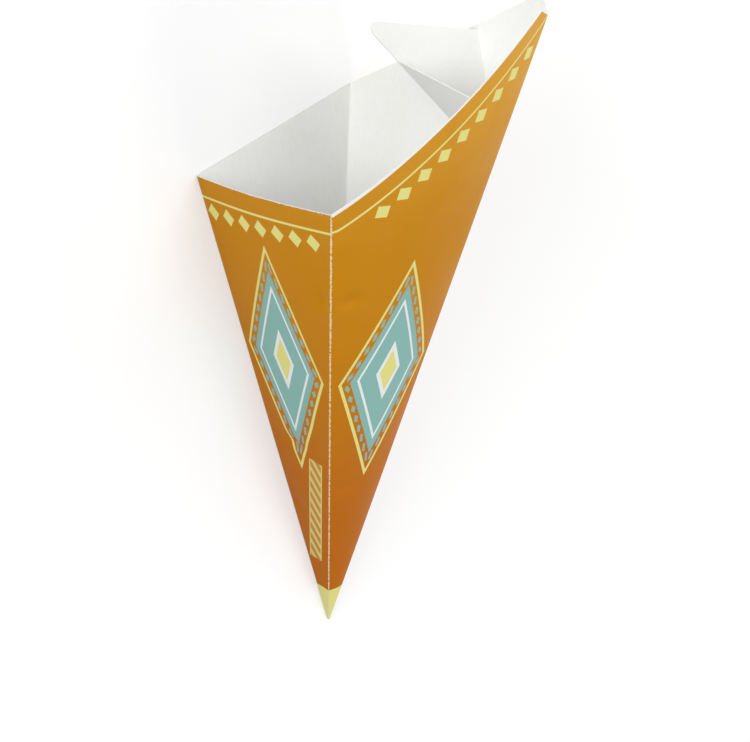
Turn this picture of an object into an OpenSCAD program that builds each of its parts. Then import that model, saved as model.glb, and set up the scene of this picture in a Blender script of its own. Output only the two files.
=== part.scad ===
// Food cone folded from one sheet of printed board.
// Four equal panels meet at the tip and at four folds: front, peak, back and low.
// Beside the low fold the mouth is cut straight, and beside the peak fold it rises to two shoulders.
// A web folded into the corner under the peak makes a small dip pocket.
// The cone lies on the panel between its low and back folds, as it comes to rest when nothing holds it.

/* [Blank] */
// Length of the front and back folds, from the tip to the mouth
fold_len = 235; // [200:1:270]
// Angle of each panel at the tip
panel_angle = 21.75; // [20:0.25:24]
// Thickness of the board
board = 0.45; // [0.3:0.05:0.7]
// Length lost at the blunt end of the tip
tip_blunt = 2; // [1:0.5:4]
// Length of the tip that is pinched shut
tip_pinch = 8; // [6:0.5:20]

/* [Bulge] */
// How far the two panels beside the peak fold bow out at the mouth
peak_bow = 8.2; // [4:0.2:10]
// How far the panel between the front and low folds bows out at the mouth
low_bow = 2; // [1:0.2:4]

/* [Peak] */
// Slope of the rising edge against the panel's mouth line
rise_angle = 36.4; // [28:0.2:42]
// Height of the rising edge's crown over a straight cut
rise_crown = 1.7; // [0.4:0.1:4]
// Distance of each shoulder from the peak fold
shoulder_inset = 9.5; // [4:0.5:16]
// Depth of the notch at the peak fold
notch_depth = 6.3; // [2:0.1:10]

/* [Dip pocket] */
// Distance of the pocket's point below the mouth, along the peak fold
pocket_drop = 5.5; // [0:0.5:30]
// Angle between the web's crease and the line where the web meets a wall
web_angle = 45; // [42:0.5:48]
// Opening of the pocket, from the peak fold to the web's crease
pocket_spread = 58; // [45:1:68]
// Length of the web's crease
crease_len = 59.5; // [50:0.5:66]
// Length of the ear above the crease
ear_len = 22; // [14:0.5:28]
// Radius of the ear's corner
ear_radius = 3; // [1:0.5:6]

/* [Glue flap] */
// Width of the flap that closes the blank, inside the low fold
flap_w = 14; // [10:0.5:18]
// Distance of the flap from the tip
flap_foot = 60; // [50:1:90]
// Distance of the flap below the mouth
flap_drop = 8; // [4:1:30]

/* [Hidden] */
$fn = 240;
arc_steps = 12;

// Lean of each fold from the cone's axis, and of each panel laid flat between its folds
half_angle = panel_angle / 2;
fold_lean = acos(sqrt(cos(panel_angle)));
panel_lean = atan(tan(fold_lean) / sqrt(2));

// Corners of a panel beside the peak fold: mouth, shoulder and notch
mouth_x = fold_len * sin(half_angle);
mouth_y = fold_len * cos(half_angle);
rise_run = (2 * mouth_x - shoulder_inset) / (cos(rise_angle) - sin(rise_angle) * tan(half_angle));
shoulder_y = mouth_y + rise_run * sin(rise_angle);
notch_y = shoulder_y - notch_depth;
notch_x = notch_y * tan(half_angle);

// Arc of the crowned edge over its chord
crown_r = (pow(rise_run / 2, 2) + pow(rise_crown, 2)) / (2 * rise_crown);
crown_half = asin(rise_run / (2 * crown_r));

// Corner of the straight mouth edge at the low fold
low_x = mouth_x * cos(panel_angle);
low_y = mouth_y * cos(panel_angle);

// Room for cutting blocks, and how far they run past a bowed panel and the board
reach = 1.6 * fold_len;
past_bow = 2 * peak_bow + low_bow;
past_board = 8 * board;
guard_slope = 3;
glue_bite = board / 4;

// Pocket's point on the peak fold, and the lean of the web's halves from the middle plane
pocket_at = fold_len - pocket_drop;
pocket_x = pocket_at * sin(half_angle);
pocket_y = pocket_at * cos(half_angle);
web_lean = acos(tan(pocket_spread / 2) / tan(web_angle));

// Length of the web along the wall, up to the rising edge, and its corner there
wall_turn = web_angle - half_angle;
wall_len = (mouth_y - pocket_y + (pocket_x + mouth_x) * tan(rise_angle))
    / (cos(wall_turn) + sin(wall_turn) * tan(rise_angle));
web_corner = wall_len * [sin(web_angle), cos(web_angle)];
ear_top = crease_len + ear_len;

// Lean of a bowed panel's middle line out of the flat panel
function bow_lean(bow) = atan(bow / mouth_y);

// Lean of the axis of the round cone that a bowed panel is part of
function axis_lean(bow) = atan((cos(bow_lean(bow)) - cos(half_angle)) / sin(bow_lean(bow)));

// Places a panel, counted from the one that lies down: X across it, Y up its middle, Z into the cone
module on_panel(turn) {
    rotate([0, 0, 45 + 90 * turn])
        rotate([90 - panel_lean, 0, 0])
            children();
}

// Quarter of space that a panel stands in
module quarter(turn) {
    rotate([0, 0, 90 * (turn + 1)])
        cube(reach);
}

// Everything inside a flat panel, from a given depth under its outer face
module inside_flat(depth) {
    translate([-reach, -reach / 2, depth])
        cube([2 * reach, 2 * reach, reach]);
}

// Everything inside a panel that is bowed as part of a round cone
module inside_bowed(bow, depth) {
    opening = bow_lean(bow) + axis_lean(bow);
    start = tip_blunt / 4;
    rotate([axis_lean(bow) - 90, 0, 0])
        translate([0, 0, start + depth / sin(opening)])
            cylinder(h = reach, r1 = start * tan(opening), r2 = (start + reach) * tan(opening));
}

// Space inside all four panels, above a given bottom
module inside(depth, bottom) {
    intersection() {
        translate([-reach / 2, -reach / 2, bottom])
            cube([reach, reach, shoulder_y]);
        on_panel(0) inside_flat(depth);
        on_panel(1) inside_bowed(low_bow, depth);
        on_panel(2) inside_bowed(peak_bow, depth);
        on_panel(3) inside_bowed(peak_bow, depth);
    }
}

// A point of the rising edge, by steps along its arc
function rise_point(step) =
    let (turn = crown_half * (2 * step / arc_steps - 1))
    let (along = rise_run / 2 + crown_r * sin(turn))
    let (over = crown_r * (cos(turn) - cos(crown_half)))
    [
        along * cos(rise_angle) - over * sin(rise_angle) - mouth_x,
        along * sin(rise_angle) + over * cos(rise_angle) + mouth_y
    ];

// Far end of a cut's side, clear of the neighbouring panel
function guard(x, y, side) = [x + side * (reach - y) / guard_slope, reach];

// What is cut off above the rising edge, with the peak fold on the right
module above_rise() {
    polygon(concat(
        [guard(-mouth_x, mouth_y, -1)],
        [for (step = [0 : arc_steps]) rise_point(step)],
        [[notch_x, notch_y], guard(notch_x, notch_y, 1)]
    ));
}

// What is cut off above the straight edge, with the low fold on the left
module above_straight() {
    polygon([guard(-low_x, low_y, -1), [-low_x, low_y], [mouth_x, mouth_y], guard(mouth_x, mouth_y, 1)]);
}

// Block with a given outline, square through the board of one panel
module through_panel(turn) {
    intersection() {
        quarter(turn);
        on_panel(turn)
            translate([0, 0, -past_bow])
                linear_extrude(past_bow + past_board)
                    children();
    }
}

// The four panels, folded round but not yet cut at the mouth
module folded_panels() {
    difference() {
        inside(0, tip_blunt);
        inside(board, tip_pinch);
    }
}

// The four panels, cut at the mouth
module panels() {
    difference() {
        folded_panels();
        through_panel(0) above_straight();
        through_panel(1) mirror([1, 0]) above_straight();
        through_panel(2) mirror([1, 0]) above_rise();
        through_panel(3) above_rise();
    }
}

// Flap glued under the panel between the front and low folds, tapered at both ends
module glue_flap() {
    width = flap_w / cos(half_angle);
    top = low_y - flap_drop;
    intersection() {
        difference() {
            inside(board - glue_bite, tip_pinch);
            inside(2 * board, tip_pinch);
        }
        through_panel(1)
            polygon([
                [flap_foot * tan(half_angle), flap_foot],
                [top * tan(half_angle), top],
                [(top - flap_w) * tan(half_angle) - width, top - flap_w],
                [(flap_foot + flap_w) * tan(half_angle) - width, flap_foot + flap_w]
            ]);
    }
}

// Places the web: Z up its crease from the pocket's point, X to the peak fold
module on_crease() {
    rotate([0, fold_lean, 0])
        translate([0, 0, pocket_at])
            rotate([0, -pocket_spread, 0])
                children();
}

// Both halves of the web before they are cut, as a chevron that runs up the crease
module web_blank() {
    leg = 2 * wall_len * [cos(web_lean), sin(web_lean)];
    side = board / 2 * [sin(web_lean), -cos(web_lean)];
    tip = [board / 2 / sin(web_lean), 0];
    back = leg + side;
    back_out = leg - side;
    linear_extrude(ear_top)
        polygon([
            tip,
            back,
            back_out,
            -tip,
            [back_out[0], -back_out[1]],
            [back[0], -back[1]]
        ]);
}

// Block that cuts one half of the web square through the board, 1 for the back and -1 for the front
module through_web(side) {
    intersection() {
        on_crease()
            rotate([90, 0, 0])
                rotate([0, side * web_lean, 0])
                    linear_extrude(past_bow, center = true)
                        children();
        translate([-reach / 2, side > 0 ? 0 : -reach, 0])
            cube(reach);
    }
}

// What is cut off the front half, above a line from the end of the crease to the wall
module above_front() {
    fall = (crease_len - web_corner[1]) / web_corner[0];
    polygon([
        [-past_bow, crease_len],
        [0, crease_len],
        [2 * web_corner[0], crease_len - 2 * web_corner[0] * fall],
        [2 * web_corner[0], 2 * ear_top],
        [-past_bow, 2 * ear_top]
    ]);
}

// What is cut off the back half, round the corner of the ear and down to the wall
module above_ear() {
    fall = (ear_top - web_corner[1]) / web_corner[0];
    bend = 90 + atan(fall);
    centre_y = ear_top - ear_radius * tan(bend / 2);
    polygon(concat(
        [[-past_bow, centre_y]],
        [for (step = [0 : arc_steps])
            let (turn = 180 - bend * step / arc_steps)
            [ear_radius * (1 + cos(turn)), centre_y + ear_radius * sin(turn)]],
        [
            [2 * web_corner[0], ear_top - 2 * web_corner[0] * fall],
            [2 * web_corner[0], 2 * ear_top],
            [-past_bow, 2 * ear_top]
        ]
    ));
}

// The web of the dip pocket, let into the walls beside the peak fold
module web() {
    difference() {
        intersection() {
            on_crease() web_blank();
            inside(board / 2, tip_pinch);
        }
        through_web(-1) above_front();
        through_web(1) above_ear();
    }
}

// The folded sheet, laid down with its origin at the middle of the panel that it rests on
module paper_cone() {
    color("darkgoldenrod")
        translate([0, -mouth_y / 2, 0])
            rotate([panel_lean - 90, 0, 0])
                rotate([0, 0, -45]) {
                    panels();
                    glue_flap();
                    web();
                }
}

paper_cone();
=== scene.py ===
"""Food cone of printed board: the folded sheet, its dip pocket and a plain stage."""

import math

import bpy
import numpy as np
from bpy.props import FloatProperty, FloatVectorProperty, PointerProperty
from mathutils import Matrix, Vector, noise


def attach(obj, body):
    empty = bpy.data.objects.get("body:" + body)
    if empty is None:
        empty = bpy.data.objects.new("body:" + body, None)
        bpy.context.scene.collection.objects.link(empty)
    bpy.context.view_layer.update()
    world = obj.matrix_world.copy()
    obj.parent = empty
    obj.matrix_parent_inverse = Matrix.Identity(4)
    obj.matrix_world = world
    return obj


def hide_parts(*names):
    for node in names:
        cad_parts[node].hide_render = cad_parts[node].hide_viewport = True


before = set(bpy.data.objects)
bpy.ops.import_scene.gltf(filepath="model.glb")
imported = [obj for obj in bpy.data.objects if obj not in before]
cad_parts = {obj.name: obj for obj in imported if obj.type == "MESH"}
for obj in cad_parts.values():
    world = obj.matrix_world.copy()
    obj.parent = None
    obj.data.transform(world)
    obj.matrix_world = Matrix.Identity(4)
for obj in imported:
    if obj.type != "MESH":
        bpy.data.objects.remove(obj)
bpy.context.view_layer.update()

bl_info = {
    "name": "Food cone",
    "version": (1, 0, 0),
    "blender": (4, 5, 0),
    "location": "View3D > Sidebar > Food cone",
    "description": "Folds a printed food cone with a dip pocket",
    "category": "Object",
}

NODE = "paper_cone"
BODY = "root"

# Panels in the order of the blank, which starts and ends at the low fold. A panel's number is also
# the place across the blank where it starts, so FRONT_PEAK starts at the front fold.
FRONT_LOW, FRONT_PEAK, BACK_PEAK, BACK_LOW = PANELS = range(4)

# Halves of the web: side of the crease, panel that it meets, and the run across it to the peak fold
WEB_HALVES = ((-1, FRONT_PEAK, (0.3, 1.0)), (1, BACK_PEAK, (0.7, 0.0)))

# Grid of one panel, and the share of a panel's width that its rounded fold takes
COLUMNS = 60
ROWS = 150
FOLD_ZONE = 0.012
FOLD_STEPS = 3

# Grids of one half of the web, of its ear and of the flap
WEB_COLUMNS = 28
WEB_ROWS = 24
EAR_ROWS = 10
FLAP_COLUMNS = 12
FLAP_ROWS = 100

# Steps of the tables in which the shoulder, the flap, a wall and the web's end are looked up
SHOULDER_STEPS = 4001
FLAP_STEPS = 401
WALL_STEPS = 400
END_STEPS = 3001

# Points this close are merged, shorter edges are dissolved, and flatter edges shade smooth
MERGE = 1e-6
WEB_MERGE = 4e-6
SHORTEST_EDGE = 1e-7
SMOOTH_ANGLE = math.radians(42)

# Side of a sheet that its board is added on: behind its faces, on both sides or in front of them
BEHIND, BOTH, BEFORE = -1.0, 0.0, 1.0

# UV map of the blank, all four panels across and this length up, and the place of unprinted pieces
UV_MAP = "Blank"
UV_LENGTH = 0.32
PLAIN_UV = (0.0, 0.5)

# In boards: the flap's root from the low fold, its face under the panel's, and the web's foot
FLAP_ROOT = 0.6
FLAP_SUNK = 1.02
WEB_FOOT = 2

# How far the web's end is looked for, in widths of the web laid flat
WEB_REACH = 1.5

# Waves left by handling: shift from panel to panel, waves across one and along a metre, and a seed
WAVE_SHIFT = 7.3
WAVES_ACROSS = 1.9
WAVES_ALONG = 16.0
WAVE_SEED = 0.37

# Dents left by handling: panel, place across it, distance from the tip, half-widths across and
# along, and depth
DENTS = (
    (FRONT_LOW, 0.94, 0.187, 0.0026, 0.0050, 0.0010),
    (FRONT_LOW, 0.80, 0.110, 0.0050, 0.0090, 0.0005),
    (FRONT_LOW, 0.42, 0.098, 0.0075, 0.0028, 0.0009),
    (FRONT_LOW, 0.22, 0.064, 0.0040, 0.0024, 0.0006),
    (FRONT_PEAK, 0.12, 0.187, 0.0045, 0.0028, 0.0009),
    (FRONT_PEAK, 0.09, 0.172, 0.0050, 0.0080, 0.0005),
    (FRONT_PEAK, 0.21, 0.082, 0.0060, 0.0030, 0.0005),
)

# Share of a panel's width over which waves and dents fade out towards a fold
FADE_ZONE = 0.04

# Ground: unevenness of the ink, and the distances from the tip over which its colours change, the
# second change being a painted sheen that is paler towards the peak
MOTTLE = 0.03
GROUND_MID = (0.04, 0.21)
PAINTED_SHEEN_RUN = (0.20, 0.31)

# Large lozenge: middle from the tip, half height, half width, and its rings by its own measure
LOZENGE_AT = 0.142
LOZENGE_TALL = 0.057
LOZENGE_WIDE = 0.0235
LOZENGE_RINGS = (
    (0.94, 1.0, "yellow"),
    (-1.0, 0.78, "teal"),
    (0.60, 0.65, "white"),
    (0.19, 0.27, "white"),
    (-1.0, 0.19, "yellow"),
)

# Measure under which the lozenge has no sides for studs
LOZENGE_HEART = 0.01

# Studs in the ring left free: number on a side, middle of the ring, half sizes along and across
STUDS = 8.0
STUD_RING = 0.86
STUD_ALONG = 0.36
STUD_ACROSS = 0.05

# Rule and beads along the mouth: depths below the edge, pitch, half sizes and the last bead's end
RULE = (0.0085, 0.0096)
BEAD_AT = 0.0152
BEAD_PITCH = 0.0108
BEAD_ALONG = 0.36
BEAD_DEEP = 0.0040
BEADS_END = 0.108

# Hatched strip beside the front fold: its sides, middle and ends, its bars, and the ink's cover
# between the bars and on them
STRIP_ACROSS = (0.0042, 0.0118)
STRIP_MIDDLE = 0.008
STRIP_BORDER = 0.0031
STRIP_ALONG = (0.036, 0.094)
HATCH_SLOPE = 1.2
HATCH_PITCH = 0.0062
HATCH_SHARE = 0.42
STRIP_COVER = (0.22, 0.8)

# Length of the pale tip
PALE_TIP = 0.0205

# Cracked ink: its share of width on the peak and low folds, and its width at two distances from the
# tip, then the run of flakes over which it starts
CRACK_SOFT = 0.3
CRACK_ALONG = (0.03, 0.2)
CRACK_WIDTH = (0.00034, 0.00048)
CRACK_FLAKES = (0.36, 0.54)

# Mouth's edge: the rubbed rim with its run of flakes, and the bare edge of the panel between the
# front and peak folds, at the front fold and farther up
RUBBED_RIM = 0.0008
RUBBED_FLAKES = (0.5, 0.75)
BARE_EDGE = (0.0013, 0.0002)
BARE_RUN = 0.07

# Surfaces: middle part of a noise, roughness of sound and worn ink, depth of worn ink, then the
# inside with its fibres and clouds, and the core
NOISE_MIDDLE = (0.3, 0.7)
PRINT_ROUGH = (0.38, 0.48)
PRINT_SPECULAR = 0.06
WORN_ROUGH = 0.8
WORN_DEPTH = 1.5
INSIDE_ROUGH = (0.62, 0.75)
INSIDE_SPECULAR = 0.35
INSIDE_DULL = (0.955, 0.95, 0.93)
INSIDE_TONE = (0.35, 0.75)
FIBRE_STRETCH = (1.0, 0.25, 1.0)
FIBRE_SHARE, CLOUD_SHARE = 0.5, 0.6
CORE_ROUGH = 0.85
CORE_DULL = 0.9

# Colour sockets of a Mix node: two to mix and the result
MIX_A, MIX_B = 6, 7
MIX_RESULT = 2

# Lamps: place, point that it looks at, and size
LAMPS = {
    "key": ((0.3, -0.9, 1.1), (0.0, 0.0, 0.05), 0.8),
    "fill": ((-1.25, 0.75, 0.6), (0.0, 0.08, 0.05), 1.0),
    "top": ((0.2, 0.75, 1.25), (0.0, 0.08, 0.05), 0.8),
    "side": ((1.25, 0.1, 0.75), (0.03, 0.08, 0.05), 0.8),
}

# Floor: size, depth under the cone, look, and the glow that it shows near the cone and far from it
FLOOR_SIZE = 12.0
FLOOR_DROP = 0.0002
FLOOR_DULL = 0.99
FLOOR_ROUGH = 0.9
FLOOR_SPECULAR = 0.1
GLOW_FROM, GLOW_TO = 0.3, 1.8
GLOW_NEAR, GLOW_FAR = 0.4, 0.78

# Light's colour, and the camera's sensor in millimetres and far limit in metres
WHITE = (1, 1, 1, 1)
SENSOR_WIDTH = 36.0
CLIP_END = 50.0


def length(name, text, default):
    """A size in metres that a user can change."""
    return FloatProperty(name=name, description=text, default=default, unit="LENGTH", precision=5)


def angle(name, text, degrees):
    """An angle that a user can change."""
    default = math.radians(degrees)
    return FloatProperty(name=name, description=text, default=default, unit="ROTATION")


def share(name, text, default):
    """A plain number that a user can change."""
    return FloatProperty(name=name, description=text, default=default)


def colour(name, text, default):
    """A colour that a user can change."""
    return FloatVectorProperty(
        name=name, description=text, default=default, subtype="COLOR", size=3, min=0.0, max=1.0
    )


class FOODCONE_PG_blank(bpy.types.PropertyGroup):
    """Sizes of the folded blank."""

    fold_len: length("Fold length", "Front and back folds, from the tip to the mouth", 0.235)
    panel_angle: angle("Panel angle", "Angle of each panel at the tip", 21.75)
    board: length("Board", "Thickness of the board", 0.00045)
    tip_blunt: length("Blunt tip", "Length lost at the blunt end of the tip", 0.002)
    peak_bow: length("Peak bow", "Bulge of the panels beside the peak fold", 0.0082)
    low_bow: length("Low bow", "Bulge of the panel between the front and low folds", 0.002)
    rise_angle: angle("Rise", "Slope of the rising edges", 36.4)
    rise_crown: length("Crown", "Crown of the rising edges", 0.0017)
    shoulder_inset: length("Shoulder inset", "Shoulders from the peak fold", 0.0095)
    notch_depth: length("Notch", "Depth of the notch at the peak fold", 0.0063)
    flap_w: length("Flap width", "Width of the glue flap", 0.014)
    flap_foot: length("Flap foot", "Glue flap from the tip", 0.06)
    flap_drop: length("Flap drop", "Glue flap below the mouth", 0.008)
    wobble: length("Wobble", "Slight waves that handling leaves in the panels", 0.0003)


class FOODCONE_PG_pocket(bpy.types.PropertyGroup):
    """Sizes of the dip pocket's web."""

    drop: length("Drop", "Pocket's point below the mouth, along the peak fold", 0.0055)
    web_angle: angle("Web angle", "Angle between the crease and a wall", 45)
    spread: angle("Spread", "Opening from the peak fold to the crease", 58)
    crease_len: length("Crease", "Length of the web's crease", 0.0595)
    ear_len: length("Ear", "Ear above the crease", 0.022)
    ear_radius: length("Ear radius", "Radius of the ear's corner", 0.003)


class FOODCONE_PG_print(bpy.types.PropertyGroup):
    """Colours of the print and the board, and a painted sheen on the ground at the peak."""

    # Ground at the peak, paler and whiter: the ground's colour with a painted sheen
    ground_with_painted_sheen: colour("Ground at the peak", "Ground colour at the peak", (0.70, 0.35, 0.03))
    ground_mid: colour("Ground at the mouth", "Ground colour below the mouth", (0.55, 0.225, 0.002))
    ground_low: colour("Ground at the tip", "Ground colour at the tip", (0.48, 0.132, 0.004))
    teal: colour("Teal", "Large lozenges", (0.245, 0.47, 0.43))
    yellow: colour("Yellow", "Tip, rules and outlines", (0.75, 0.72, 0.24))
    white: colour("White", "Key lines", (0.80, 0.83, 0.82))
    inside: colour("Inside", "Unprinted face of the board", (0.91, 0.915, 0.90))
    core: colour("Core", "Cut edges of the board", (0.86, 0.85, 0.80))
    crack: colour("Crack", "Ink cracked along the folds", (0.80, 0.66, 0.42))


class FOODCONE_PG_stage(bpy.types.PropertyGroup):
    """Camera and lights."""

    azimuth: angle("Azimuth", "Camera about the cone's axis, from the front fold", 2.1234)
    elevation: angle("Elevation", "Camera over the cone's mouth plane", 28.871)
    roll: angle("Roll", "Camera about its own axis", 1.9366)
    distance: length("Distance", "Camera from the middle of the cone's axis", 1.40765)
    aside: length("Aside", "Camera to the right of that line", 0.016678)
    above: length("Above", "Camera above that line", 0.005687)
    lens: share("Lens", "Focal length in millimetres on a 36 mm sensor", 162.8235)
    floor: colour("Floor", "Paper of the floor", (0.60, 0.60, 0.60))
    key: share("Key", "Power of the key light in watts", 5.7)
    fill: share("Fill", "Power of the fill light in watts", 13.6)
    top: share("Top", "Power of the light over the mouth in watts", 6.0)
    side: share("Side", "Power of the weak light beside the peak in watts", 3.5)
    sky: share("Sky", "Strength of the even light", 0.40)


class Blank:
    """The folded blank in the frame's own space, worked out from its sizes."""

    def __init__(self, s):
        self.sizes = s
        self.half = s.panel_angle / 2
        self.fold_lean = math.acos(math.sqrt(math.cos(s.panel_angle)))
        self.lean = math.atan(math.tan(self.fold_lean) / math.sqrt(2))

        # Bulge of each panel, in the order of the blank
        self.bows = [s.low_bow, s.peak_bow, s.peak_bow, 0.0]

        # Corners of the mouth on a flat panel: at the front fold, the low fold, shoulder and notch
        self.mouth = np.array([math.sin(self.half), math.cos(self.half)]) * s.fold_len
        self.low = self.mouth * math.cos(s.panel_angle)
        run = (2 * self.mouth[0] - s.shoulder_inset) / (
            math.cos(s.rise_angle) - math.sin(s.rise_angle) * math.tan(self.half)
        )
        self.rise_foot = self.mouth * [-1, 1]
        rise = np.array([math.cos(s.rise_angle), math.sin(s.rise_angle)])
        self.shoulder = self.rise_foot + run * rise
        notch_y = self.shoulder[1] - s.notch_depth
        self.notch = np.array([notch_y * math.tan(self.half), notch_y])

        # Arc of the crowned edge
        self.crown_r = ((run / 2) ** 2 + s.rise_crown**2) / (2 * s.rise_crown)
        sunk = self.crown_r - s.rise_crown
        self.crown_centre = self.rise_foot + run / 2 * rise - sunk * np.array([-rise[1], rise[0]])

        # The cone's tip, and the turn that lays it down from its axis upright
        self.tip = np.array([0.0, -self.mouth[1] / 2, 0.0])
        down = Matrix.Rotation(self.lean - math.pi / 2, 3, "X")
        self.lay = down @ Matrix.Rotation(-math.pi / 4, 3, "Z")
        self.axis = np.array(self.lay @ Vector((0, 0, 1)))

    def turned(self, panel):
        """The panel's axes: across, up its middle and into the cone, as columns."""
        turn = Matrix.Rotation(math.radians(45 + 90 * ((panel + 1) % len(PANELS))), 3, "Z")
        return np.array(self.lay @ turn @ Matrix.Rotation(math.pi / 2 - self.lean, 3, "X"))

    def local(self, panel, u):
        """Unit direction from the tip and outward normal in the panel's own axes.

        u runs from 0 to 1 across the panel, in the order of the blank.
        """
        bow = self.bows[panel]
        if not bow:
            turn = self.half * (1 - 2 * u)
            return np.array([math.sin(turn), math.cos(turn), 0.0]), np.array([0.0, 0.0, -1.0])

        # A bowed panel is part of a round cone, whose axis leans into the folded one
        bow_lean = math.atan(bow / self.mouth[1])
        axis_lean = math.atan((math.cos(bow_lean) - math.cos(self.half)) / math.sin(bow_lean))
        opening = bow_lean + axis_lean
        turn = math.asin(math.sin(self.half) / math.sin(opening)) * (1 - 2 * u)
        axis = np.array([0.0, math.cos(axis_lean), math.sin(axis_lean)])
        out = np.array([0.0, math.sin(axis_lean), -math.cos(axis_lean)])
        side = math.cos(turn) * out + math.sin(turn) * np.array([1.0, 0.0, 0.0])
        return (
            math.cos(opening) * axis + math.sin(opening) * side,
            math.cos(opening) * side - math.sin(opening) * axis,
        )

    def sharp(self, panel, u):
        """Direction and normal before the folds are rounded."""
        d, n = self.local(panel, u)
        m = self.turned(panel)
        return m @ d, m @ n

    def direction(self, panel, u):
        """Direction and normal with the folds rounded into the neighbouring panels."""
        z = FOLD_ZONE
        if z <= u <= 1 - z:
            return self.sharp(panel, u)
        if u < z:
            t = (u + z) / (2 * z)
            before = (panel - 1) % len(PANELS)
            ends = self.sharp(before, 1 - z), self.sharp(panel, 0.0), self.sharp(panel, z)
        else:
            t = (u - 1 + z) / (2 * z)
            after = (panel + 1) % len(PANELS)
            ends = self.sharp(panel, 1 - z), self.sharp(panel, 1.0), self.sharp(after, z)
        (a, na), (b, _), (c, nc) = ends
        d = (1 - t) ** 2 * a + 2 * t * (1 - t) * b + t**2 * c
        n = (1 - t) * na + t * nc
        return d, n / np.linalg.norm(n)

    def mouth_radius(self, panel, u):
        """Distance from the tip to the mouth's cut edge."""
        d, _ = self.local(panel, u)
        flat = d[:2].copy()
        if panel in (FRONT_PEAK, BACK_LOW):
            flat[0] = -flat[0]
        if panel in (FRONT_LOW, BACK_LOW):
            return reach_line(flat, self.low, self.rise_foot)
        if flat[0] / flat[1] > self.shoulder[0] / self.shoulder[1]:
            return reach_line(flat, self.shoulder, self.notch)
        along = flat @ self.crown_centre
        size = flat @ flat
        rest = self.crown_centre @ self.crown_centre - self.crown_r**2
        return (along + math.sqrt(along**2 - size * rest)) / size

    def shoulder_u(self, panel):
        """Where the shoulder stands across a panel beside the peak fold."""
        us = np.linspace(0, 1, SHOULDER_STEPS)
        rays = [self.local(panel, u)[0] for u in us]
        slopes = np.array([d[0] / d[1] for d in rays])
        if panel == FRONT_PEAK:
            slopes = -slopes
        return float(us[np.argmin(abs(slopes - self.shoulder[0] / self.shoulder[1]))])

    def columns(self, panel):
        """Columns of a panel's grid, close together at the folds and one at the shoulder."""
        ends = np.linspace(0, FOLD_ZONE, FOLD_STEPS + 1)
        middle = np.linspace(FOLD_ZONE, 1 - FOLD_ZONE, COLUMNS - 2 * FOLD_STEPS + 1)
        us = np.concatenate([ends[:-1], middle, 1 - ends[:-1][::-1]])
        if panel in (FRONT_PEAK, BACK_PEAK):
            at = self.shoulder_u(panel)
            us[np.argmin(abs(us - at))] = at
        return us


class Web:
    """The dip pocket's web: x runs away from its crease, and y along it from the pocket's point."""

    def __init__(self, blank, pocket):
        self.blank = blank
        self.pocket = pocket
        self.corner = self.wall_corner()
        self.ear_top = pocket.crease_len + pocket.ear_len
        self.fall = (self.ear_top - self.corner[1]) / self.corner[0]
        self.bend = math.pi / 2 + math.atan(self.fall)
        self.ear_centre = self.ear_top - pocket.ear_radius * math.tan(self.bend / 2)
        turn = blank.lay @ Matrix.Rotation(blank.fold_lean, 3, "Y")
        self.point = np.array(turn @ Vector((0, 0, blank.sizes.fold_len - pocket.drop)))
        self.turn = turn @ Matrix.Rotation(-pocket.spread, 3, "Y")
        self.lean = math.acos(math.tan(pocket.spread / 2) / math.tan(pocket.web_angle))
        self.crease = np.array(self.turn @ Vector((0, 0, 1)))

    def wall_corner(self):
        """Where the web, laid flat, meets the rising edge."""
        blank, pocket = self.blank, self.pocket
        at = blank.sizes.fold_len - pocket.drop
        x, y = at * math.sin(blank.half), at * math.cos(blank.half)
        turn = pocket.web_angle - blank.half
        rise = math.tan(blank.sizes.rise_angle)
        height = blank.mouth[1] - y + (x + blank.mouth[0]) * rise
        run = height / (math.cos(turn) + math.sin(turn) * rise)
        return run * math.sin(pocket.web_angle), run * math.cos(pocket.web_angle)

    def middle(self, x):
        """Height of the line from the end of the crease to the wall."""
        crease_len = self.pocket.crease_len
        return crease_len + (self.corner[1] - crease_len) * x / self.corner[0]

    def ear(self, x):
        """Height of the ear's edge, round its corner and down to the wall."""
        radius = self.pocket.ear_radius
        if x < radius * (1 - math.cos(self.bend)):
            return self.ear_centre + math.sqrt(max(0.0, radius**2 - (x - radius) ** 2))
        return self.ear_top - self.fall * x

    def half(self, side, panel, run):
        """Grids of one half: the front one ends at the middle line, the back one has the ear."""
        board = self.blank.sizes.board
        tilt = Vector((math.cos(self.lean), side * math.sin(self.lean), 0))
        across = np.array(self.turn @ tilt)
        normal = np.cross(self.crease, across)
        rays = [self.blank.sharp(panel, u)[0] for u in np.linspace(*run, WALL_STEPS)]
        hits = np.array([d * (normal @ self.point) / (normal @ d) - self.point for d in rays])
        xs, ys = hits @ across, hits @ self.crease
        order = np.argsort(xs)
        xs, ys = xs[order], ys[order]

        def wall(x):
            return max(WEB_FOOT * board, float(np.interp(x + board, xs, ys)))

        def top(x):
            return min(self.middle(x), self.ear(x)) if side > 0 else self.middle(x)

        reach = np.linspace(0, WEB_REACH * self.corner[0], END_STEPS)
        end = next(x for x in reach if wall(x) >= top(x))

        def at(x, y):
            return self.blank.tip + self.point + x * across + y * self.crease

        def lower(i, j):
            x = end * i / WEB_COLUMNS
            foot = min(wall(x), top(x))
            return at(x, foot + (top(x) - foot) * j / WEB_ROWS)

        def upper(i, j):
            x = end * i / WEB_COLUMNS
            foot = top(x)
            return at(x, foot + max(0.0, self.ear(x) - foot) * j / EAR_ROWS)

        parts = [grid(f"web_{side}", WEB_COLUMNS, WEB_ROWS, lower)]
        if side > 0:
            parts.append(grid("web_ear", WEB_COLUMNS, EAR_ROWS, upper))
        return parts


def reach_line(flat, p, q):
    """How far a ray from the tip runs to the line through p and q."""
    step = q - p
    return (p[0] * step[1] - p[1] * step[0]) / (flat[0] * step[1] - flat[1] * step[0])


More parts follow.
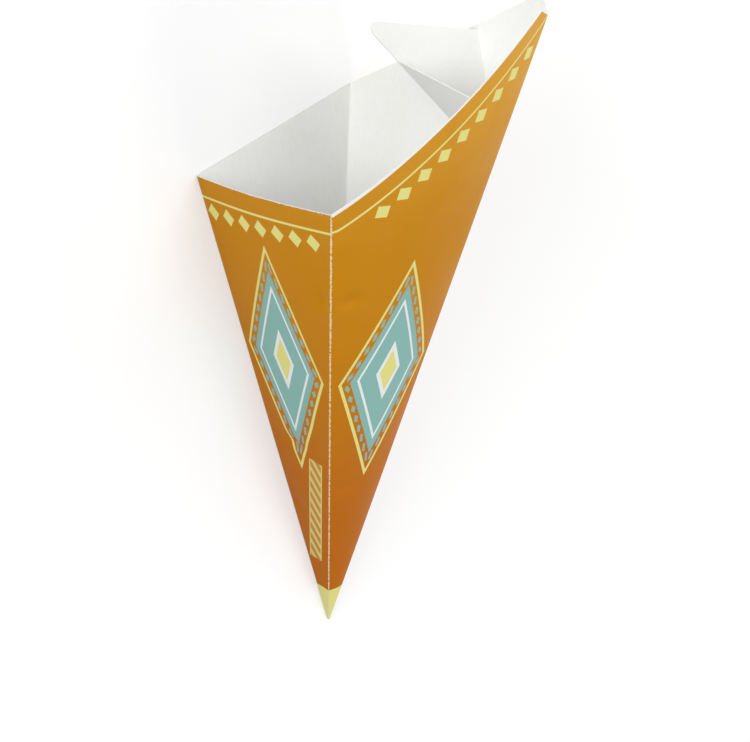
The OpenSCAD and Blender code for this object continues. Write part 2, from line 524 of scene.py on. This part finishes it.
def lift(panel, u, r, sizes):
    """How far handling has moved a point of a panel out of the folded surface."""
    if panel == BACK_LOW:
        return 0.0
    fade = math.sin(math.pi * u) * min(1.0, r / sizes.fold_len)
    at = Vector((panel * WAVE_SHIFT + WAVES_ACROSS * u, r * WAVES_ALONG, WAVE_SEED))
    move = sizes.wobble * fade * noise.noise(at)
    for where, across, along, wide, tall, deep in DENTS:
        if where == panel:
            x = (u - across) * sizes.panel_angle * r / wide
            y = (r - along) / tall
            move -= deep * math.exp(-x * x - y * y)
    return move * min(1.0, u / FADE_ZONE, (1 - u) / FADE_ZONE)


def deselect():
    """Leaves nothing selected, since loading the frame selects its nodes."""
    if bpy.context.object and bpy.context.object.mode != "OBJECT":
        bpy.ops.object.mode_set(mode="OBJECT")
    bpy.ops.object.select_all(action="DESELECT")


def plain_uv(_column, _row):
    """The one place on the blank that unprinted pieces have."""
    return PLAIN_UV


def grid(name, columns, rows, place, uv=plain_uv):
    """A grid with its points at place(column, row) and its UV map from uv(column, row)."""
    deselect()
    bpy.ops.mesh.primitive_grid_add(
        x_subdivisions=columns, y_subdivisions=rows, size=2, calc_uvs=True
    )
    obj = bpy.context.object
    obj.name = obj.data.name = name
    mesh = obj.data
    steps = []
    for v in mesh.vertices:
        steps.append((round((v.co.x + 1) / 2 * columns), round((v.co.y + 1) / 2 * rows)))
    for v, (i, j) in zip(mesh.vertices, steps):
        v.co = Vector(place(i, j))
    layer = mesh.uv_layers[0]
    layer.name = UV_MAP
    for loop in mesh.loops:
        layer.data[loop.index].uv = uv(*steps[loop.vertex_index])
    return obj


def joined(objs, name, merge=MERGE):
    """Grids as one sheet, with their common edges merged and their normals turned outward."""
    deselect()
    for o in objs:
        o.select_set(True)
    bpy.context.view_layer.objects.active = objs[0]
    if len(objs) > 1:
        bpy.ops.object.join()
    obj = bpy.context.object
    obj.name = obj.data.name = name
    bpy.ops.object.mode_set(mode="EDIT")
    bpy.ops.mesh.select_all(action="SELECT")
    bpy.ops.mesh.remove_doubles(threshold=merge)
    bpy.ops.mesh.dissolve_degenerate(threshold=SHORTEST_EDGE)
    bpy.ops.mesh.select_all(action="SELECT")
    bpy.ops.mesh.normals_make_consistent(inside=False)
    bpy.ops.object.mode_set(mode="OBJECT")
    return obj


def thicken(obj, board, side, materials):
    """Gives a sheet the board's thickness; of its materials, the last is for the cut edge."""
    for material in materials:
        obj.data.materials.append(material)
    deselect()
    obj.select_set(True)
    bpy.context.view_layer.objects.active = obj
    mod = obj.modifiers.new("Board", "SOLIDIFY")
    mod.thickness = board
    mod.offset = side
    mod.use_even_offset = True
    mod.use_rim = True
    mod.material_offset = len(materials) - 2
    mod.material_offset_rim = len(materials) - 1
    bpy.ops.object.modifier_apply(modifier=mod.name)
    bpy.ops.object.shade_smooth_by_angle(angle=SMOOTH_ANGLE)


def own(obj):
    """Ties a finished piece to the frame."""
    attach(obj, BODY)
    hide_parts(NODE)


class Nodes:
    """Short ways to add and link the nodes of one material."""

    def __init__(self, name):
        self.material = bpy.data.materials.new(name)
        self.material.use_nodes = True
        self.tree = self.material.node_tree
        self.shader = self.tree.nodes["Principled BSDF"]

    def add(self, kind, **settings):
        """A node with its settings; its sockets are set by put()."""
        node = self.tree.nodes.new(kind)
        for key, value in settings.items():
            setattr(node, key, value)
        return node

    def put(self, socket, value):
        """Links an output to a socket, or sets the socket."""
        if isinstance(value, bpy.types.NodeSocket):
            self.tree.links.new(value, socket)
        else:
            socket.default_value = value

    def surface(self, **inputs):
        """Sets the shader's sockets, with an underscore for each space in their names."""
        for name, value in inputs.items():
            self.put(self.shader.inputs[name.replace("_", " ")], value)

    def math(self, operation, *values):
        """One step of arithmetic."""
        node = self.add("ShaderNodeMath", operation=operation)
        for socket, value in zip(node.inputs, values):
            self.put(socket, value)
        return node.outputs[0]

    def off(self, value, middle):
        """How far a value is from another."""
        return self.math("ABSOLUTE", self.math("SUBTRACT", value, middle))

    def off_step(self, value):
        """How far a value is from the middle of its own step of 1."""
        return self.off(self.math("FRACT", value), 0.5)

    def inside(self, value, low, high):
        """1 between two values and 0 outside them."""
        over = self.math("GREATER_THAN", value, low)
        return self.math("MULTIPLY", over, self.math("LESS_THAN", value, high))

    def ramp(self, value, low, high, start=0.0, end=1.0):
        """A smooth step from start to end."""
        node = self.add("ShaderNodeMapRange", interpolation_type="SMOOTHSTEP")
        names = ("Value", "From Min", "From Max", "To Min", "To Max")
        for name, x in zip(names, (value, low, high, start, end)):
            self.put(node.inputs[name], x)
        return node.outputs["Result"]

    def mix(self, cover, a, b):
        """A colour between two."""
        node = self.add("ShaderNodeMix", data_type="RGBA")
        self.put(node.inputs["Factor"], cover)
        self.put(node.inputs[MIX_A], a)
        self.put(node.inputs[MIX_B], b)
        return node.outputs[MIX_RESULT]

    def attribute(self, name):
        """A number stored on the mesh's points."""
        return self.add("ShaderNodeAttribute", attribute_name=name).outputs["Fac"]

    def noise(self, scale, detail=2.0, roughness=0.5, stretch=None):
        """Noise in the object's own space."""
        coords = self.add("ShaderNodeTexCoord").outputs["Object"]
        if stretch:
            mapping = self.add("ShaderNodeMapping")
            self.put(mapping.inputs["Vector"], coords)
            mapping.inputs["Scale"].default_value = stretch
            coords = mapping.outputs["Vector"]
        node = self.add("ShaderNodeTexNoise")
        self.put(node.inputs["Vector"], coords)
        node.inputs["Scale"].default_value = scale
        node.inputs["Detail"].default_value = detail
        node.inputs["Roughness"].default_value = roughness
        return node.outputs["Fac"]

    def bump(self, height, distance, strength):
        """Fine relief on the shader."""
        node = self.add("ShaderNodeBump")
        node.inputs["Strength"].default_value = strength
        node.inputs["Distance"].default_value = distance
        self.put(node.inputs["Height"], height)
        self.put(self.shader.inputs["Normal"], node.outputs["Normal"])


def background_rays(tree):
    """1 for rays that see a white background: from the camera, a reflection or through glass."""
    path = tree.nodes.new("ShaderNodeLightPath")
    seen = path.outputs["Is Camera Ray"]
    for kind in ("Is Glossy Ray", "Is Transmission Ray"):
        larger = tree.nodes.new("ShaderNodeMath")
        larger.operation = "MAXIMUM"
        tree.links.new(seen, larger.inputs[0])
        tree.links.new(path.outputs[kind], larger.inputs[1])
        seen = larger.outputs[0]
    return seen


def rgba(values):
    """A colour with full cover."""
    return (*values, 1.0)


class Print(Nodes):
    """Print on the outside, with a painted sheen at the peak, laid colour over colour by places on
    the blank.
    """

    def __init__(self, colours, sizes):
        super().__init__("printed_outside")
        self.colours = colours
        self.sizes = sizes
        self.ink = rgba(colours.ground_low)
        split = self.add("ShaderNodeSeparateXYZ")
        self.put(split.inputs[0], self.add("ShaderNodeUVMap", uv_map=UV_MAP).outputs[0])
        self.across = self.math("MULTIPLY", split.outputs[0], len(PANELS))
        self.along = self.math("MULTIPLY", split.outputs[1], UV_LENGTH)
        self.arc = self.math("MULTIPLY", self.along, sizes.panel_angle)
        self.from_middle = self.off_step(self.across)
        self.edge_depth = self.attribute("edge_depth")
        self.edge_run = self.attribute("edge_run")

    def lay(self, cover, name):
        """Prints one of the colours over the ink so far."""
        self.ink = self.mix(cover, self.ink, rgba(getattr(self.colours, name)))

    def ground(self):
        """A ground graded from the tip to the peak, with slightly uneven ink; the paler ground
        towards the peak is a painted sheen.
        """
        uneven = self.math("SUBTRACT", self.noise(scale=90.0, detail=3.0), 0.5)
        graded = self.math("ADD", self.along, self.math("MULTIPLY", uneven, MOTTLE))
        self.lay(self.ramp(graded, *GROUND_MID), "ground_mid")
        # Painted sheen: the ground grows paler towards the peak
        self.lay(self.ramp(graded, *PAINTED_SHEEN_RUN), "ground_with_painted_sheen")

    def lozenges(self):
        """A tall lozenge on the middle of each panel, with studs inside its outline."""
        tall = self.math("DIVIDE", self.off(self.along, LOZENGE_AT), LOZENGE_TALL)
        out = self.math("MULTIPLY", self.from_middle, self.arc)
        lozenge = self.math("ADD", tall, self.math("DIVIDE", out, LOZENGE_WIDE))
        for low, high, name in LOZENGE_RINGS:
            self.lay(self.inside(lozenge, low, high), name)
        side = self.math("DIVIDE", tall, self.math("MAXIMUM", lozenge, LOZENGE_HEART))
        run = self.off_step(self.math("MULTIPLY", side, STUDS))
        run = self.math("DIVIDE", run, STUD_ALONG)
        deep = self.math("DIVIDE", self.off(lozenge, STUD_RING), STUD_ACROSS)
        self.lay(self.math("LESS_THAN", self.math("ADD", run, deep), 1.0), "teal")

    def mouth_border(self):
        """A rule and a row of small lozenges along the mouth."""
        self.lay(self.inside(self.edge_depth, *RULE), "yellow")
        run = self.off_step(self.math("DIVIDE", self.edge_run, BEAD_PITCH))
        run = self.math("DIVIDE", run, BEAD_ALONG)
        deep = self.math("DIVIDE", self.off(self.edge_depth, BEAD_AT), BEAD_DEEP)
        beads = self.math("LESS_THAN", self.math("ADD", run, deep), 1.0)
        row = self.inside(self.edge_run, BEAD_PITCH, BEADS_END)
        self.lay(self.math("MULTIPLY", beads, row), "yellow")

    def strip(self):
        """A hatched strip beside the front fold."""
        front = self.math("MULTIPLY", self.math("SUBTRACT", FRONT_PEAK, self.across), self.arc)
        strip = self.inside(front, *STRIP_ACROSS)
        strip = self.math("MULTIPLY", strip, self.inside(self.along, *STRIP_ALONG))
        slant = self.math("SUBTRACT", self.along, self.math("MULTIPLY", front, HATCH_SLOPE))
        hatch = self.math("FRACT", self.math("DIVIDE", slant, HATCH_PITCH))
        border = self.math("GREATER_THAN", self.off(front, STRIP_MIDDLE), STRIP_BORDER)
        bars = self.math("MAXIMUM", self.math("LESS_THAN", hatch, HATCH_SHARE), border)
        cover = self.ramp(bars, 0.0, 1.0, *STRIP_COVER)
        self.lay(self.math("MULTIPLY", strip, cover), "yellow")

    def tip(self):
        """The pale tip."""
        self.lay(self.math("LESS_THAN", self.along, PALE_TIP), "yellow")

    def wear(self):
        """Ink cracked along the folds, most on the front and back ones, and lost at the mouth."""
        flakes = self.noise(scale=1000.0, detail=4.0, roughness=0.7)
        to_fold = self.math("MULTIPLY", self.math("SUBTRACT", 0.5, self.from_middle), self.arc)
        from_hard = self.math("PINGPONG", self.math("SUBTRACT", self.across, FRONT_PEAK), 1.0)
        hard = self.math("LESS_THAN", from_hard, 0.5)
        width = self.math("ADD", self.math("MULTIPLY", hard, 1 - CRACK_SOFT), CRACK_SOFT)
        width = self.math("MULTIPLY", width, self.ramp(self.along, *CRACK_ALONG, *CRACK_WIDTH))
        width = self.math("MULTIPLY", width, self.ramp(flakes, *CRACK_FLAKES))
        crack = self.math("LESS_THAN", to_fold, width)
        rim = self.ramp(flakes, *RUBBED_FLAKES, 0.0, RUBBED_RIM)
        rubbed = self.math("LESS_THAN", self.edge_depth, rim)
        # The blank's first edge shows its core along the low fold
        seam = self.math("MULTIPLY", self.across, self.arc)
        seam = self.math("LESS_THAN", seam, self.sizes.board)
        bare = self.ramp(self.edge_run, 0.0, BARE_RUN, *BARE_EDGE)
        bare = self.math("LESS_THAN", self.edge_depth, bare)
        front = self.inside(self.across, FRONT_PEAK, FRONT_PEAK + 1)
        bare = self.math("MULTIPLY", bare, front)
        worn = self.math("MAXIMUM", crack, rubbed)
        worn = self.math("MAXIMUM", worn, self.math("MAXIMUM", seam, bare))
        self.lay(worn, "core")
        self.lay(crack, "crack")
        return worn

    def coat(self, worn):
        """Slightly uneven gloss, and a fine relief that is lower where the ink is worn."""
        gloss = self.ramp(self.noise(scale=35.0), *NOISE_MIDDLE, *PRINT_ROUGH)
        rough = self.math("MAXIMUM", gloss, self.math("MULTIPLY", worn, WORN_ROUGH))
        self.surface(Base_Color=self.ink, Roughness=rough, Specular_IOR_Level=PRINT_SPECULAR)
        lower = self.math("MULTIPLY", worn, WORN_DEPTH)
        relief = self.math("SUBTRACT", self.noise(scale=1400.0, detail=3.0), lower)
        self.bump(relief, distance=0.00004, strength=0.6)


def printed_material(colours, sizes):
    """Glossy print: lozenges, rules, a hatched strip and a pale tip on a graded ground."""
    n = Print(colours, sizes)
    n.ground()
    n.lozenges()
    n.mouth_border()
    n.strip()
    n.tip()
    n.coat(n.wear())


def inside_material(colours):
    """Unprinted face of the board: matt, with fine fibres."""
    n = Nodes("board_inside")
    fibres = n.noise(scale=900.0, detail=4.0, roughness=0.6, stretch=FIBRE_STRETCH)
    clouds = n.noise(scale=28.0)
    dull = rgba([c * t for c, t in zip(colours.inside, INSIDE_DULL)])
    tone = n.math("MULTIPLY", fibres, FIBRE_SHARE)
    tone = n.math("ADD", tone, n.math("MULTIPLY", clouds, CLOUD_SHARE))
    face = n.mix(n.ramp(tone, *INSIDE_TONE), rgba(colours.inside), dull)
    rough = n.ramp(fibres, *NOISE_MIDDLE, *INSIDE_ROUGH)
    n.surface(Base_Color=face, Roughness=rough, Specular_IOR_Level=INSIDE_SPECULAR)
    n.bump(fibres, distance=0.00005, strength=0.5)


def core_material(colours):
    """Raw cut edge of the board."""
    n = Nodes("board_core")
    layers = n.noise(scale=2200.0, detail=3.0)
    dull = rgba([c * CORE_DULL for c in colours.core])
    n.surface(Base_Color=n.mix(layers, rgba(colours.core), dull), Roughness=CORE_ROUGH)
    n.bump(layers, distance=0.00005, strength=0.6)


def board_materials(settings):
    """Print, plain face and cut edge, made once."""
    if "printed_outside" not in bpy.data.materials:
        printed_material(settings.print, settings.blank)
        inside_material(settings.print)
        core_material(settings.print)
    return [bpy.data.materials[name] for name in ("printed_outside", "board_inside", "board_core")]


class FOODCONE_OT_panels(bpy.types.Operator):
    """Folds the four printed panels."""

    bl_idname = "foodcone.panels"
    bl_label = "Panels"

    def execute(self, context):
        settings = context.scene.foodcone
        sizes = settings.blank
        blank = Blank(sizes)
        sheet = joined([self.folded(blank, panel) for panel in PANELS], "printed_panels")
        thicken(sheet, sizes.board, BEHIND, board_materials(settings))
        own(sheet)
        return {"FINISHED"}

    @classmethod
    def folded(cls, blank, panel):
        """One panel's grid, from the blunt tip to the mouth's edge."""
        us = blank.columns(panel)
        rays = [blank.direction(panel, u) for u in us]
        feet = [blank.sizes.tip_blunt / (d @ blank.axis) for d, _ in rays]
        tops = [blank.mouth_radius(panel, u) for u in us]

        def radius(i, j):
            return feet[i] + (tops[i] - feet[i]) * j / ROWS

        def place(i, j):
            r = radius(i, j)
            d, out = rays[i]
            return blank.tip + r * d + out * lift(panel, us[i], r, blank.sizes)

        def uv(i, j):
            return (panel + us[i]) / len(PANELS), radius(i, j) / UV_LENGTH

        part = grid(f"panel_{panel}", len(us) - 1, ROWS, place, uv)
        cls.measure(part, panel, us, tops, blank)
        return part

    @staticmethod
    def measure(part, panel, us, tops, blank):
        """Stores how far each point is below the mouth's edge, and along it from its fold."""
        turn = blank.sizes.panel_angle

        def flat(u, r):
            return np.stack([r * np.sin(u * turn), r * np.cos(u * turn)], axis=-1)

        # The edge up to the shoulder, from the front or back fold on
        used = np.ones(len(us), bool)
        if panel == FRONT_PEAK:
            used = us <= blank.shoulder_u(panel)
        elif panel == BACK_PEAK:
            used = us >= blank.shoulder_u(panel)
        edge = flat(us[used], np.array(tops)[used])
        if panel in (FRONT_LOW, BACK_PEAK):
            edge = edge[::-1]
        start, step = edge[:-1], np.diff(edge, axis=0)
        size = np.linalg.norm(step, axis=1)
        passed = np.concatenate([[0.0], np.cumsum(size)[:-1]])

        uvs = part.data.uv_layers[0].data
        at = {loop.vertex_index: uvs[loop.index].uv for loop in part.data.loops}
        depth = part.data.attributes.new("edge_depth", "FLOAT", "POINT")
        run = part.data.attributes.new("edge_run", "FLOAT", "POINT")
        for index, (u, v) in at.items():
            gap = flat(u * len(PANELS) - panel, v * UV_LENGTH) - start
            part_way = np.clip((gap * step).sum(1) / size**2, 0, 1)
            away = np.linalg.norm(gap - part_way[:, None] * step, axis=1)
            near = int(np.argmin(away))
            depth.data[index].value = away[near]
            run.data[index].value = passed[near] + part_way[near] * size[near]


class FOODCONE_OT_flap(bpy.types.Operator):
    """Adds the glue flap inside the low fold."""

    bl_idname = "foodcone.flap"
    bl_label = "Glue flap"

    def execute(self, context):
        settings = context.scene.foodcone
        sizes = settings.blank
        blank = Blank(sizes)
        turned = blank.turned(FRONT_LOW)
        slope = math.tan(blank.half)
        width = sizes.flap_w / math.cos(blank.half)
        root = FLAP_ROOT * sizes.board

        # Both long edges, from foot to top: at the fold, and free with tapered ends
        foot, top = sizes.flap_foot, blank.low[1] - sizes.flap_drop
        fold_edge = [np.array([y * slope - root, y]) for y in (foot, top)]
        ends = (foot + sizes.flap_w, top - sizes.flap_w)
        free_edge = [np.array([y * slope - width, y]) for y in ends]

        us = np.linspace(0, 1, FLAP_STEPS)
        rays = np.array([blank.local(FRONT_LOW, u)[0] for u in us])
        slopes = rays[:, 0] / rays[:, 1]

        def place(i, j):
            a, b = i / FLAP_COLUMNS, j / FLAP_ROWS
            low, high = (p + (q - p) * b for p, q in (fold_edge, free_edge))
            x, y = low + (high - low) * a
            u = np.interp(-x / y, -slopes, us)
            d, out = blank.local(FRONT_LOW, u)
            r = y / d[1]
            sunk = sizes.board * FLAP_SUNK - lift(FRONT_LOW, u, r, sizes)
            return blank.tip + turned @ (d * r - out * sunk)

        flap = joined([grid("glue_flap", FLAP_COLUMNS, FLAP_ROWS, place)], "glue_flap")
        faces_out = flap.data.polygons[0].normal.dot(Vector(turned[:, 2])) < 0
        side = BEHIND if faces_out else BEFORE
        thicken(flap, sizes.board, side, board_materials(settings)[1:])
        own(flap)
        return {"FINISHED"}


class FOODCONE_OT_web(bpy.types.Operator):
    """Folds the web of the dip pocket into the corner under the peak."""

    bl_idname = "foodcone.web"
    bl_label = "Pocket web"

    def execute(self, context):
        settings = context.scene.foodcone
        shape = Web(Blank(settings.blank), settings.pocket)
        parts = []
        for side, panel, run in WEB_HALVES:
            parts += shape.half(side, panel, run)
        web = joined(parts, "pocket_web", WEB_MERGE)
        thicken(web, settings.blank.board, BOTH, board_materials(settings)[1:])
        own(web)
        return {"FINISHED"}


class FOODCONE_OT_stage(bpy.types.Operator):
    """Sets the floor, the lights and the camera."""

    bl_idname = "foodcone.stage"
    bl_label = "Stage"

    def execute(self, context):
        settings = context.scene.foodcone
        stage = settings.stage
        self.floor(stage)
        for name, (place, aim, size) in LAMPS.items():
            self.light(name, place, aim, size, getattr(stage, name))
        self.world(context, stage)
        self.camera(context, stage, Blank(settings.blank))
        context.scene.view_settings.view_transform = "Standard"
        return {"FINISHED"}

    @staticmethod
    def floor(stage):
        """A pale floor that keeps the shadow and looks white to the camera."""
        deselect()
        bpy.ops.mesh.primitive_plane_add(size=FLOOR_SIZE, location=(0, 0, -FLOOR_DROP))
        floor = bpy.context.object
        floor.name = "floor"
        n = Nodes("floor_paper")
        dull = rgba([c * FLOOR_DULL for c in stage.floor])
        paper = n.mix(n.noise(scale=6.0), rgba(stage.floor), dull)
        away = n.add("ShaderNodeVectorMath", operation="LENGTH")
        n.put(away.inputs[0], n.add("ShaderNodeTexCoord").outputs["Object"])
        glow = n.ramp(away.outputs["Value"], GLOW_FROM, GLOW_TO, GLOW_NEAR, GLOW_FAR)
        glow = n.math("MULTIPLY", background_rays(n.tree), glow)
        n.surface(Base_Color=paper, Roughness=FLOOR_ROUGH, Specular_IOR_Level=FLOOR_SPECULAR)
        n.surface(Emission_Color=WHITE, Emission_Strength=glow)
        floor.data.materials.append(n.material)

    @staticmethod
    def light(name, place, aim, size, power):
        """A soft square light that looks at a point."""
        deselect()
        bpy.ops.object.light_add(type="AREA", location=place)
        light = bpy.context.object
        light.name = name
        light.data.shape = "SQUARE"
        light.data.size = size
        light.data.energy = power
        light.rotation_euler = (Vector(aim) - Vector(place)).to_track_quat("-Z", "Y").to_euler()

    @staticmethod
    def world(context, stage):
        """Even white light, and a white background."""
        world = context.scene.world or bpy.data.worlds.new("World")
        context.scene.world = world
        world.use_nodes = True
        tree = world.node_tree
        back = tree.nodes["Background"]
        back.inputs["Color"].default_value = WHITE
        pick = tree.nodes.new("ShaderNodeMapRange")
        tree.links.new(background_rays(tree), pick.inputs["Value"])
        pick.inputs["To Min"].default_value = stage.sky
        pick.inputs["To Max"].default_value = 1.0
        tree.links.new(pick.outputs["Result"], back.inputs["Strength"])

    @staticmethod
    def camera(context, stage, blank):
        """The photo's view, given about the cone's own axis."""
        az, el = stage.azimuth, stage.elevation
        back = Vector((math.sin(az) * math.cos(el), -math.cos(az) * math.cos(el), math.sin(el)))
        level = Vector((math.cos(az), math.sin(az), 0))
        rise = back.cross(level)
        right = math.cos(stage.roll) * level + math.sin(stage.roll) * rise
        up = math.cos(stage.roll) * rise - math.sin(stage.roll) * level
        middle = Vector((0, 0, 0.5 * blank.sizes.fold_len))
        eye = middle + stage.distance * back + stage.aside * right + stage.above * up
        turn = blank.lay.to_4x4()
        axes = Matrix((right, up, back)).transposed().to_4x4()
        place = Matrix.Translation(Vector(blank.tip)) @ turn @ Matrix.Translation(eye) @ axes
        deselect()
        bpy.ops.object.camera_add()
        camera = bpy.context.object
        camera.name = "camera"
        camera.matrix_world = place
        camera.data.lens = stage.lens
        camera.data.sensor_width = SENSOR_WIDTH
        camera.data.clip_end = CLIP_END
        context.scene.camera = camera


class FOODCONE_PG_settings(bpy.types.PropertyGroup):
    """All settings of the food cone."""

    blank: PointerProperty(type=FOODCONE_PG_blank)
    pocket: PointerProperty(type=FOODCONE_PG_pocket)
    print: PointerProperty(type=FOODCONE_PG_print)
    stage: PointerProperty(type=FOODCONE_PG_stage)


class FOODCONE_PT_sidebar(bpy.types.Panel):
    """Lists the food cone's steps."""

    bl_idname = "FOODCONE_PT_sidebar"
    bl_label = "Food cone"
    bl_space_type = "VIEW_3D"
    bl_region_type = "UI"
    bl_category = "Food cone"

    def draw(self, context):
        for step in STEPS:
            self.layout.operator(step.bl_idname)


STEPS = (FOODCONE_OT_panels, FOODCONE_OT_flap, FOODCONE_OT_web, FOODCONE_OT_stage)
CLASSES = (
    FOODCONE_PG_blank,
    FOODCONE_PG_pocket,
    FOODCONE_PG_print,
    FOODCONE_PG_stage,
    FOODCONE_PG_settings,
    *STEPS,
    FOODCONE_PT_sidebar,
)


def register():
    """Adds the classes and the scene's settings."""
    for cls in CLASSES:
        bpy.utils.register_class(cls)
    bpy.types.Scene.foodcone = PointerProperty(type=FOODCONE_PG_settings)


def unregister():
    """Takes them away again."""
    del bpy.types.Scene.foodcone
    for cls in reversed(CLASSES):
        bpy.utils.unregister_class(cls)


def main():
    """Builds every piece in order."""
    register()
    bpy.ops.foodcone.panels()
    bpy.ops.foodcone.flap()
    bpy.ops.foodcone.web()
    bpy.ops.foodcone.stage()


if __name__ == "__main__":
    main()
